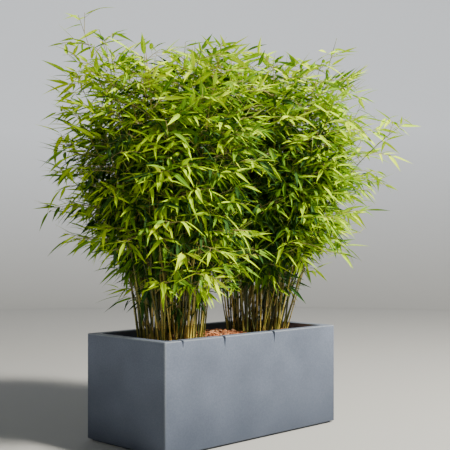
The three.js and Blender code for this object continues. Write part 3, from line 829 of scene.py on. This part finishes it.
def makeSheaths(culms):
    look = sheath
    sheaths = Bin()
    faces = halved(gridFaces(look["rows"], look["columns"]))
    for culm in culms:
        random = makeRandom(culm.seed + look["moreSeed"])
        for distance, following in zip(culm.nodes, culm.nodes[1:] + [culm.length]):
            if distance > look["highest"] * culm.length or random() > look["share"]:
                continue
            reach = (following - distance) * mix(*look["cover"], random())
            around = math.radians(mix(*look["around"], random()))
            first = random() * 2 * math.pi
            peel = mix(*look["peel"], random() ** look["peelPower"])
            sheaths.add(sheathPoints(culm, distance, reach, around, first, peel), faces)
    sheaths.build("papersheaths", mottledFinish("papersheath", sheathLook), "cane", caneNodes)


# Foliage: twigs grow at a culm's nodes by the golden angle, and carry finer twigs and sprays of leaves

twigs = {
    "angle": 58, "angleVariety": 0.2, "sag": 0.12, "golden": 137.5, "perNode": 2.2,
    "length": 0.185, "shortest": 0.5, "longest": 1.25, "outwardMore": 0.35, "cutShort": 0.55,
    "boxMargin": 0.012,
    # places of the rings, radius at the root and tip, and sides
    "drawn": ((0, 0.33, 0.66, 1.0), 0.0015, 0.0009, 4), "drawnFine": ((0, 0.5, 1.0), 0.0009, 0.0006, 3),
    # finer twigs: where they start, how many are left out, how they turn and rise, and their length
    "subShares": (0.25, 0.45, 0.65, 0.85), "subJitter": 0.12, "bare": 0.2, "bareAtTip": 0.5,
    "subAngle": 42, "subTurn": (0.75, 0.5), "subLevel": 0.35, "subRise": 0.25,
    "subLength": 0.06, "subReach": (0.6, 0.8),
    # the thin end of a culm: its share of the culm, twigs at each node and length of twig at the very tip
    "thinEnd": {"share": 0.13, "perNode": 2.0, "scale": 0.7},
    "thinStray": {"share": 0.36, "perNode": 0.9, "scale": 0.56},
    "tipFullness": 0.3,
    # twigs left out near the soil: up to which height, how far out from the clump's middle, and what share
    "bareLow": [(0.57, 0.0, 0.8), (0.7, 0.0, 0.3), (0.78, 0.27, 0.8)],
}

sprays = {
    "leaves": (2, 4), "tipLeaves": (2, 3), "length": 0.092, "variety": 0.32, "first": 1.06, "others": 0.98,
    "widthShare": 0.156, "widthVariety": (0.9, 0.25), "step": (0.007, 0.028), "firstFan": 24,
    "fan": (22, 84), "roll": 40, "bend": (2, 28), "fold": (8, 24), "twist": 30, "boxDrop": 0.1,
    # how far the leaves hang, low and high in the crown
    "droopLow": (-4, 68), "droopHigh": (-34, 38), "lowFrom": 0.95, "highFrom": 1.5,
    # leaves on the outside are lifted, and less so near the top
    "outerLift": 18, "outerRamp": (2.5, 1.5), "liftLess": 0.5,
}
# leaves that are still rolled up stand out of the ends of some sprays
spikes = {
    "share": 0.34, "length": (0.045, 0.1), "radius": 0.0012, "swell": (0.7, 1.0, 0.2), "widest": 0.4,
    "along": 0.75, "up": 0.4, "aside": 0.5,
}

# where along the blade its width is set, and the width there
bladeStations = np.array([0.035, 0.1, 0.22, 0.42, 0.66, 0.86])
bladeWidths = np.array([0.12, 0.6, 0.97, 0.95, 0.56, 0.19])

# the four kinds of leaf are painted sunlight and shade, the palest also young leaves: paler greens go on
# the outside and top of the crown, darker ones inside
# shaded and sunlit green, rib and roughness
leafLooks = {
    "leavesYoungAndSunlit": ((0.5, 0.7, 0.004), (0.66, 0.84, 0.006), (0.73, 0.86, 0.05), 0.6),
    "leavesBright": ((0.35, 0.59, 0.006), (0.52, 0.75, 0.008), (0.6, 0.79, 0.05), 0.58),
    "leavesHalfShaded": ((0.088, 0.215, 0.013), (0.19, 0.355, 0.018), (0.27, 0.43, 0.045), 0.56),
    "leavesDeepShade": ((0.018, 0.055, 0.013), (0.04, 0.104, 0.018), (0.075, 0.155, 0.034), 0.54),
}
# a spray's score says how bright it is painted, from painted sunlight on the outside, top and ends of the
# crown to painted shade inside: what counts for it, and the least that each kind takes
leafScore = {"outside": 0.62, "up": 0.12, "upFrom": 0.6, "ends": 0.22, "endsFrom": 0.35, "luck": 0.58}
leafDeals = [("leavesYoungAndSunlit", 0.9), ("leavesBright", 0.61), ("leavesHalfShaded", 0.44), ("leavesDeepShade", -9)]
# a clump's crown: half its width low down and higher up, its depth in widths, the height where it
# starts to widen and for how far, and its middle and how far it goes up from there
crownShape = {
    "across": (0.24, 0.52), "depth": 0.87, "low": 0.6, "rise": 0.6, "middle": 1.05, "top": 0.6, "most": 1.1,
}
twigLook = {
    "colours": [(0.3, (0.23, 0.18, 0.052)), (0.55, (0.4, 0.33, 0.11)), (0.75, (0.52, 0.4, 0.2))],
    "scale": 30.0, "roughness": (0.5, 0.7), "grainScale": 400.0, "grain": 0.3, "grainDepth": 0.0004,
    "gloss": 0.4,
}
spikeLook = {
    "colours": [(0.3, (0.3, 0.4, 0.045)), (0.7, (0.46, 0.54, 0.09))],
    "scale": 12.0, "roughness": (0.4, 0.5), "grainScale": 300.0, "grain": 0.2, "grainDepth": 0.0004,
    "gloss": 0.4,
}

leafRows = {name: [] for name in leafLooks}
twigBin, spikeBin = Bin(), Bin()


def bentTwig(root, direction, length):
    middle = root + direction * length / 2
    tip = root + direction * length - upward * length * twigs["sag"]

    def point(t):
        return (1 - t) ** 2 * root + 2 * t * (1 - t) * middle + t * t * tip

    def tangent(t):
        return unit(2 * (1 - t) * (middle - root) + 2 * t * (tip - middle))

    return point, tangent


def drawTwig(point, tangent, shares, radius, tipRadius, sides):
    tangents = np.array([tangent(t) for t in shares])
    sideways = levelSide(tangents[0])
    sideways = np.array([unit(sideways - t * (sideways @ t)) for t in tangents])
    radii = np.linspace(radius, tipRadius, len(shares))
    twigBin.add(*tube([point(t) for t in shares], tangents, sideways, radii, sides))


def inBox(point, box, margin):
    return bool(np.all(point > box[0] - margin) and np.all(point < box[1] + margin))


def clumpMiddle(culm):
    return clumps[1]["x"] if culm.name.startswith("right") else clumps[0]["x"]


def outsideness(point, culm):
    # 0 in the middle of the culm's clump, about 1 at the outside and top of its crown
    crown = crownShape
    across = mix(*crown["across"], np.clip((point[2] - crown["low"]) / crown["rise"], 0, 1))
    above = max(0, point[2] - crown["middle"]) / crown["top"]
    out = math.hypot((point[0] - clumpMiddle(culm)) / across, point[1] / (crown["depth"] * across), above)
    return min(crown["most"], out)


def leafKind(tip, outside, random):
    # painted light: sprays on the outside, top and ends take the sunlit kinds, those inside the painted
    # shade
    part = leafScore
    score = part["outside"] * outside + part["up"] * (tip[2] - part["upFrom"])
    score += part["ends"] * (abs(tip[0]) - part["endsFrom"]) + part["luck"] * (random() - 0.5)
    return next(name for name, least in leafDeals if score > least)


def growSpray(point, tangent, length, fullness, culm, box, random):
    # fullness is 1 in the crown and falls to 0 at the tip of its culm
    look = sprays
    tip, axis = point(1.0), tangent(1.0)
    outside = outsideness(tip, culm)
    rows = leafRows[leafKind(tip, outside, random)]
    high = np.clip((tip[2] - look["lowFrom"]) / (look["highFrom"] - look["lowFrom"]), 0, 1)
    steep, start = look["outerRamp"]
    lift = look["outerLift"] * np.clip(steep * outside - start, 0, 1) * (1 - look["liftLess"] * high)
    droops = [mix(low, top, high) - lift for low, top in zip(look["droopLow"], look["droopHigh"])]
    heading = math.degrees(math.atan2(axis[1], axis[0]))
    counts = [mix(few, many, fullness) for few, many in zip(look["tipLeaves"], look["leaves"])]
    count = int(mix(*counts, random()) + 0.5)
    sign = 1 if random() < 0.5 else -1
    step = mix(*look["step"], random())
    thinnest, wider = look["widthVariety"]
    for j in range(count):
        root = point(max(0.0, 1 - step * j / length))
        turn = (random() - 0.5) * look["firstFan"] if j == 0 else sign * mix(*look["fan"], random())
        sign = -sign
        droop = mix(*droops, random())
        direction = levelDirection(heading + turn)
        side = np.cross(upward, direction)
        direction = turned(direction, side, droop)
        side = turned(side, direction, swing(random) * look["roll"])
        size = look["length"] * (1 + look["variety"] * swing(random))
        size *= look["first" if j == 0 else "others"]
        if not inBox(root + direction * size - upward * look["boxDrop"] * size, box, twigs["boxMargin"]):
            continue
        bend, fold = mix(*look["bend"], random()), mix(*look["fold"], random())
        twist = swing(random) * look["twist"]
        width = size * look["widthShare"] * (thinnest + wider * random())
        rows.append([*root, *direction, *side, size, width, *np.radians((bend, fold, twist))])
    if random() < spikes["share"]:
        growSpike(tip, axis, heading, box, random)


def growSpike(tip, axis, heading, box, random):
    look = spikes
    aside = levelDirection(heading + 90) * (random() - 0.5) * look["aside"]
    direction = unit(axis * look["along"] + upward * look["up"] + aside)
    reach = mix(*look["length"], random())
    if inBox(tip + direction * reach, box, twigs["boxMargin"]):
        centres = [tip, tip + direction * reach * look["widest"], tip + direction * reach]
        radii = look["radius"] * np.array(look["swell"])
        spikeBin.add(*tube(centres, direction, levelSide(direction), radii, 3))


def leftBare(end, culm, random):
    fromMiddle = math.hypot(end[0] - clumpMiddle(culm), end[1])
    for height, reach, share in twigs["bareLow"]:
        if end[2] < height and fromMiddle > reach and random() < share:
            return True
    return False


def growTwig(culm, distance, turn, fullness, scale, box, random):
    look = twigs
    root, along = culm.point(distance / culm.length), culm.tangent(distance / culm.length)
    radial = turned(culm.sideways, along, turn)
    angle = math.radians(look["angle"] * (1 + swing(random) * look["angleVariety"]))
    direction = along * math.cos(angle) + radial * math.sin(angle)
    length = look["length"] * mix(look["shortest"], look["longest"], random()) * scale
    length *= 1 + look["outwardMore"] * max(0, radial @ culm.outward)
    point, tangent = bentTwig(root, direction, length)
    if not inBox(point(1.0), box, 0):
        length *= look["cutShort"]
        point, tangent = bentTwig(root, direction, length)
        if not inBox(point(1.0), box, 0):
            return
    if leftBare(point(1.0), culm, random):
        return
    drawTwig(point, tangent, *look["drawn"])
    growSpray(point, tangent, length, fullness, culm, box, random)
    sign = 1 if random() < 0.5 else -1
    for share in look["subShares"]:
        sign = -sign
        if random() < mix(look["bareAtTip"], look["bare"], fullness):
            continue
        at = share + look["subJitter"] * (random() - 0.5)
        axis = tangent(at)
        side = levelSide(axis) * sign
        lift = (random() - look["subLevel"]) * look["subRise"]
        (least, variety), (shortest, longer) = look["subTurn"], look["subReach"]
        angle = math.radians(look["subAngle"] * (least + variety * random()))
        direction = unit(axis * math.cos(angle) + side * math.sin(angle) + upward * lift)
        subLength = look["subLength"] * (shortest + longer * random())
        subPoint, subTangent = bentTwig(point(at), direction, subLength)
        if not inBox(subPoint(1.0), box, 0):
            continue
        drawTwig(subPoint, subTangent, *look["drawnFine"])
        growSpray(subPoint, subTangent, subLength, fullness, culm, box, random)


def growFoliage(culm):
    random = makeRandom(culm.seed)
    node = f"foliage_{culm.name}"
    perNode, scale = twigs["perNode"], 1.0
    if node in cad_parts:
        box = [np.array(corner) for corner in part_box(node)]
    else:
        look = slimCulms
        box = np.array(cadLow) + look["boxInset"], np.array(cadHigh) - look["boxInset"]
        perNode, scale = look["perNode"], look["twigScale"] * min(1, look["shortScale"] + culm.length)
    spin = random() * 360
    grown = 0
    end = twigs["thinStray" if culm.name in [*strays, *(row[0] for row in sprouts)] else "thinEnd"]
    for distance in culm.nodes:
        if distance < culm.leafyFrom * culm.length:
            continue
        fullness = min(1, (culm.length - distance) / (end["share"] * culm.length))
        for _ in range(int(mix(min(end["perNode"], perNode), perNode, fullness) + random())):
            turn = spin + twigs["golden"] * grown
            growTwig(culm, distance, turn, fullness, scale * mix(end["scale"], 1.0, fullness), box, random)
            grown += 1
    growSpray(culm.point, culm.tangent, culm.length, twigs["tipFullness"], culm, box, random)


def buildLeaves(name, rows, material):
    # each leaf is a blade folded along its midrib, from a point at its stalk to a point at its tip
    data = np.array(rows)
    every = slice(1, None, 2) if name == "leavesDeepShade" else slice(None)  # the leaves inside are plainer
    stations, widths = bladeStations[every], bladeWidths[every]
    root, direction, side = data[:, 0:3], data[:, 3:6], data[:, 6:9]
    size, width, bend, fold, twist = data[:, 9:14].T
    normal = np.cross(direction, side)

    def midrib(v):
        turn = bend * v
        forward, down = np.sin(turn) / bend, (1 - np.cos(turn)) / bend
        place = root + (size * forward)[:, None] * direction - (size * down)[:, None] * normal
        local = np.cos(turn)[:, None] * normal + np.sin(turn)[:, None] * direction
        return place, local

    points, places = [root], [(0.5, 0.0)]
    for v, share in zip(stations, widths):
        place, local = midrib(v)
        cosine, sine = np.cos(twist * v)[:, None], np.sin(twist * v)[:, None]
        aside, lift = side * cosine + local * sine, local * cosine - side * sine
        half = (width / 2 * share)[:, None]
        rise = np.tan(fold)[:, None] * half * lift
        points += [place - half * aside + rise, place, place + half * aside + rise]
        places += [(0.0, v), (0.5, v), (1.0, v)]
    points.append(midrib(1.0)[0])
    places.append((0.5, 1.0))
    count = len(points)
    faces = [(0, 2, 1), (0, 3, 2)]
    for left in range(1, count - 4, 3):
        middle, right = left + 1, left + 2
        faces += [(middle, right + 3, right), (middle, middle + 3, right + 3)]
        faces += [(middle, left, left + 3), (middle, left + 3, middle + 3)]
    faces += [(count - 4, count - 3, count - 1), (count - 3, count - 2, count - 1)]
    corners = (np.arange(len(data)) * count)[:, None, None] + np.array(faces)[None]
    leaves = Bin()
    uvs = np.tile(places, (len(data), 1))
    leaves.add(np.stack(points, axis=1).reshape(-1, 3), corners.reshape(-1, 3), uvs)
    leaves.build(name, material, "foliage", foliageNodes, smooth=False)
    return len(data)


mainCulms = [culm for clump in clumps for culm in layOutClump(clump)]
mainCulms += [layOutSprout(*row) for row in sprouts]
allCulms = mainCulms + [culm for clump in clumps for culm in layOutSlimCulms(clump, mainCulms)]
makeCulms(allCulms)
makeSheaths(allCulms)
print("culms made:", len(allCulms))
makeChips(np.array([culm.foot for culm in allCulms]))
makeMulchBed()
print("mulch made")

for culm in allCulms:
    growFoliage(culm)
total = sum(buildLeaves(name, leafRows[name], leafFinish(name, *look)) for name, look in leafLooks.items())
twigBin.build("leafTwigs", mottledFinish("tanTwig", twigLook), "foliage", foliageNodes)
spikeBin.build("rolledLeaves", mottledFinish("rolledLeaf", spikeLook), "foliage", foliageNodes)
print("foliage made:", total, "leaves")


# Floor, light and camera

studio = {
    "floor": (0.45, 0.45, 0.438), "floorRoughness": 0.8, "floorReach": 40,
    "sky": (0.78, 0.86, 1.0), "skyStrength": 0.085,
    "keyPlace": (1.85, -5.0, 5.9), "keySize": 1.1, "keyPower": 1660, "keyColour": (1.0, 0.95, 0.84),
    "aim": (0.05, 0.0, 0.95),
    # the wall round the plant: how far off it starts to rise, its bend and height, and how much it glows
    "wallStart": 7.5, "wallFoot": 0.001, "bend": 2.5, "bendSteps": 12, "wallHeight": 7.0, "wallTurns": 96,
    "wallRoughness": 0.9, "glowFront": 0.13, "glowBehind": 0.52, "glowTurn": 45,
    "lens": 72.0, "sensor": 36.0, "shift": 0.0371, "cameraPlace": (-2.784, -2.857, 0.836),
    "cameraTurn": -44.79,
}


def smoothObject(name, points, faces, material):
    mesh = newMesh(name, points, faces)
    mesh.shade_smooth()
    mesh.materials.append(material)
    return linkObject(name, mesh)


def floorFinish():
    material, tree, shader = newFinish("paleFloor")
    wire(tree, shader, {"Base Color": (*studio["floor"], 1), "Roughness": studio["floorRoughness"]})
    return material


def backdropFinish():
    # glows more the higher it is, and most on the side behind the plant
    look = studio
    material, tree, shader = newFinish("paleBackdrop")
    place = tree.nodes.new("ShaderNodeTexCoord").outputs["Object"]
    height = addNode(tree, "SeparateXYZ", {"Vector": place}).outputs["Z"]
    rise = addNode(tree, "MapRange", {"Value": height, "From Max": look["bend"]})
    towards = {0: place, 1: levelDirection(look["glowTurn"])}
    behind = addNode(tree, "VectorMath", towards, "DOT_PRODUCT").outputs["Value"]
    side = addNode(tree, "MapRange", {
        "Value": behind, "From Min": 0.0, "From Max": look["wallStart"] + look["bend"],
        "To Min": look["glowFront"], "To Max": look["glowBehind"],
    })
    both = {0: rise.outputs["Result"], 1: side.outputs["Result"]}
    glow = addNode(tree, "Math", both, "MULTIPLY")
    wire(tree, shader, {
        "Base Color": (*look["floor"], 1), "Roughness": look["wallRoughness"],
        "Emission Color": (*look["sky"], 1), "Emission Strength": glow.outputs["Value"],
    })
    return material


def makeBackdrop():
    # a wall that bends up out of the floor all round the plant
    look = studio
    profile = [(look["wallStart"], look["wallFoot"])]
    for step in range(1, look["bendSteps"] + 1):
        angle = math.pi / 2 * step / look["bendSteps"]
        out, up = math.sin(angle), 1 - math.cos(angle)
        profile.append((look["wallStart"] + look["bend"] * out, look["bend"] * up))
    profile.append((profile[-1][0], look["wallHeight"]))
    turns = look["wallTurns"]
    points = [levelDirection(360 * k / turns) * d + upward * z for d, z in profile for k in range(turns)]
    faces = [(a, d, c, b) for a, b, c, d in gridFaces(len(profile), turns, closed=True)]
    backdrop = smoothObject("backdrop", points, faces, backdropFinish())


def makeFloor():
    reach = studio["floorReach"]
    corners = [(-reach, -reach, 0), (reach, -reach, 0), (reach, reach, 0), (-reach, reach, 0)]
    floor = smoothObject("floor", corners, [(0, 1, 2, 3)], floorFinish())


makeFloor()
makeBackdrop()

keyData = bpy.data.lights.new("keyLight", "AREA")
keyData.shape, keyData.size = "DISK", studio["keySize"]
keyData.energy, keyData.color = studio["keyPower"], studio["keyColour"]
keyLight = linkObject("keyLight", keyData)
keyLight.location = studio["keyPlace"]
towardsPlant = Vector(studio["aim"]) - keyLight.location
keyLight.rotation_euler = towardsPlant.to_track_quat("-Z", "Y").to_euler()

world = bpy.data.worlds.new("paleSky")
world.use_nodes = True
background = world.node_tree.nodes["Background"]
wire(world.node_tree, background, {"Color": (*studio["sky"], 1), "Strength": studio["skyStrength"]})
bpy.context.scene.world = world

lensData = bpy.data.cameras.new("camera")
lensData.lens, lensData.sensor_width, lensData.shift_y = studio["lens"], studio["sensor"], studio["shift"]
camera = linkObject("camera", lensData)
camera.location = studio["cameraPlace"]
camera.rotation_euler = (math.radians(90), 0, math.radians(studio["cameraTurn"]))
bpy.context.scene.camera = camera
print("light and camera set")
